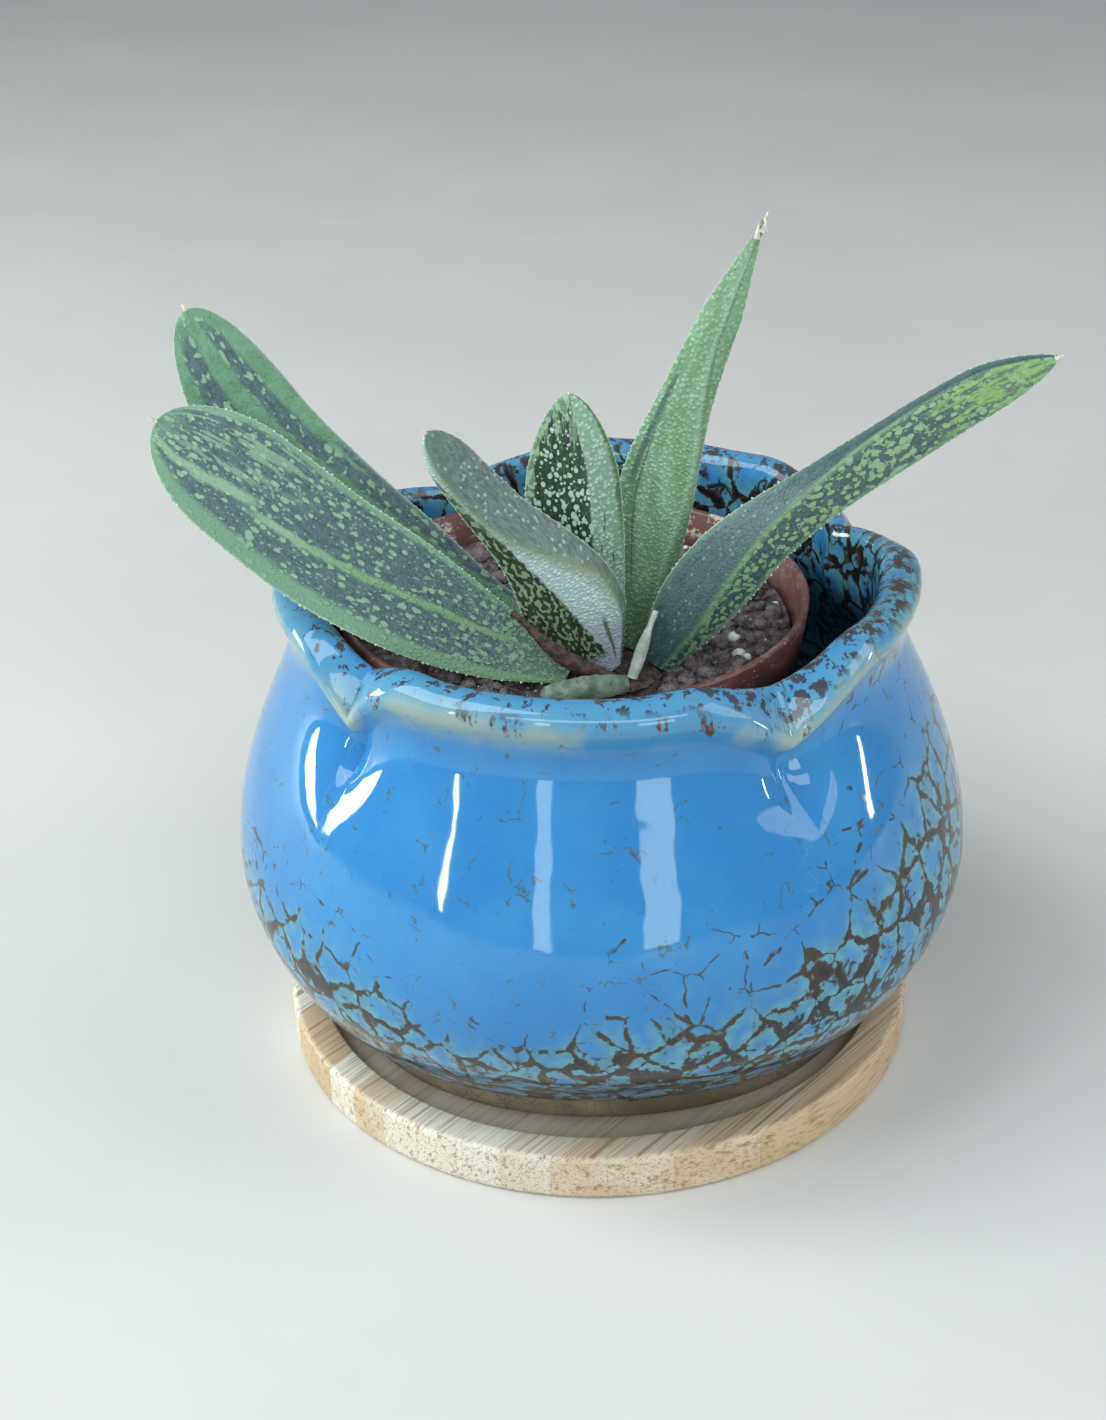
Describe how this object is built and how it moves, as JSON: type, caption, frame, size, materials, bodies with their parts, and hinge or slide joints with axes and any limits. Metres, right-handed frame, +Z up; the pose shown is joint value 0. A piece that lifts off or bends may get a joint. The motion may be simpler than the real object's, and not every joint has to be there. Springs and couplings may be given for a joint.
{
  "type": "potted gasteria succulent",
  "caption": "Small gasteria with thick spotted leaves in a thin plastic pot, set in a round-bellied glazed pot with a pleated rim, on a round bamboo saucer.",
  "frame": {"origin": "centre of the saucer's flat underside, on the surface that it stands on", "axes": "+Z up, -Y towards the front that the picture shows, +X to the right"},
  "size_m": [0.1174, 0.1094, 0.1262],
  "materials": {
    "bamboo": "smooth sanded bamboo strips with open end grain on the side",
    "blue_glaze": "glossy crackled blue glaze with brown breaks, cream on the lip and bare clay at the foot",
    "brown_plastic": "thin red-brown plastic with white lime stains",
    "potting_soil": "dark crumbly compost with white grains",
    "stem_brown": "dull fibrous",
    "leaf_green": "waxy, finely pebbled, with pale spots and bands",
    "pale_leaf": "pale, dull and thin",
    "dry_leaf": "dry brown fibre"
  },
  "bodies": {
    "root": {"saucer": "bamboo", "glazed_pot": "blue_glaze", "plastic_pot": "brown_plastic", "soil": "potting_soil", "stem": "stem_brown", "leaf_left_front": "leaf_green", "leaf_left_back": "leaf_green", "leaf_centre_left": "leaf_green", "leaf_centre": "leaf_green", "leaf_right_tall": "leaf_green", "leaf_right_long": "leaf_green", "leaf_stub_front": "pale_leaf", "sheath_dry": "dry_leaf", "sheath_white": "pale_leaf"}
  },
  "joints": []
}
